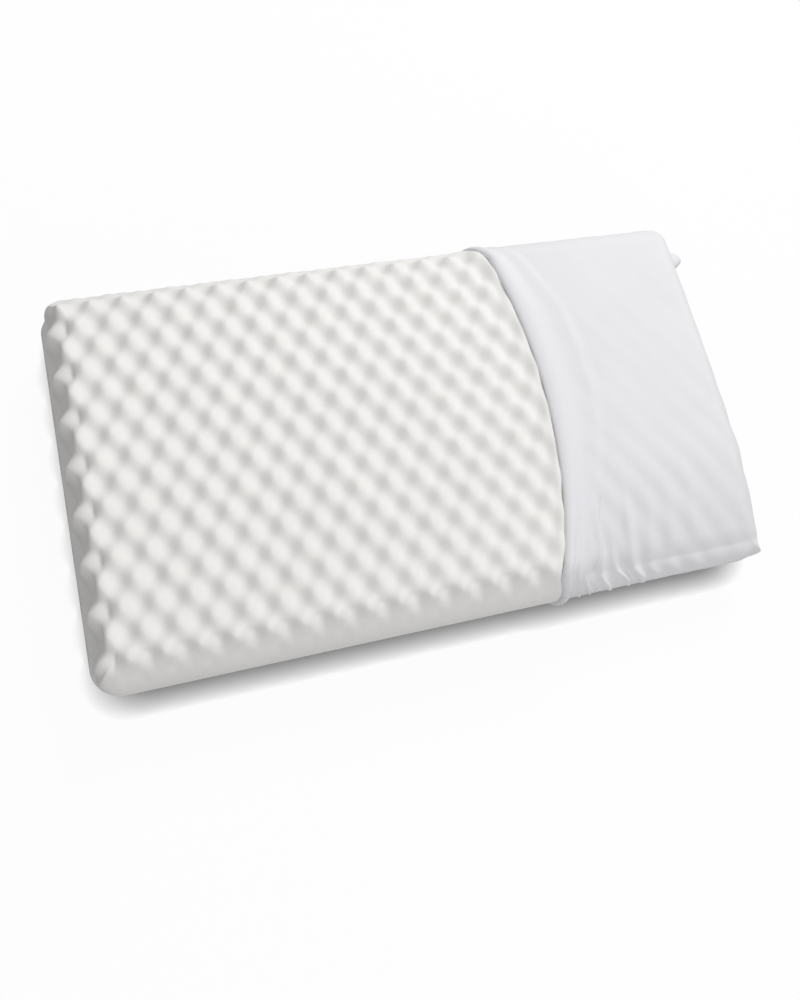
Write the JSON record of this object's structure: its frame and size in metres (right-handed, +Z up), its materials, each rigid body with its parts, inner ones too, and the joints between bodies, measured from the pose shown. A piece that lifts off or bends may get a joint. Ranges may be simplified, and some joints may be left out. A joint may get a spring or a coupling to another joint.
{
  "type": "bed pillow with cover",
  "caption": "Low rectangular moulded-foam bed pillow with an egg-crate surface, and a knitted cover pulled over one end that slides off along its length.",
  "frame": {"origin": "on the floor, under the middle of the whole object's box", "axes": "+X along the pillow towards the end that the cover hides, +Y across it towards the back, +Z up"},
  "size_m": [0.7128, 0.41, 0.125],
  "materials": {
    "foam": "matte moulded latex foam with fine open pores",
    "jersey": "fine single-jersey knit, soft and matte",
    "thread": "textured overlock yarn"
  },
  "bodies": {
    "core": {"foam_core": "foam"},
    "cover": {"cover_top_panel": "jersey", "cover_bottom_panel": "jersey", "cover_top_hem": "jersey", "cover_bottom_hem": "jersey", "front_seam_allowance": "jersey", "back_seam_allowance": "jersey", "end_seam_allowance": "jersey", "front_seam_thread": "thread", "back_seam_thread": "thread", "end_seam_thread": "thread"}
  },
  "joints": [
    {"name": "cover_pull", "type": "slide", "parent": "core", "child": "cover", "axis": [1, 0, 0], "range_m": [0, 0.24]}
  ]
}
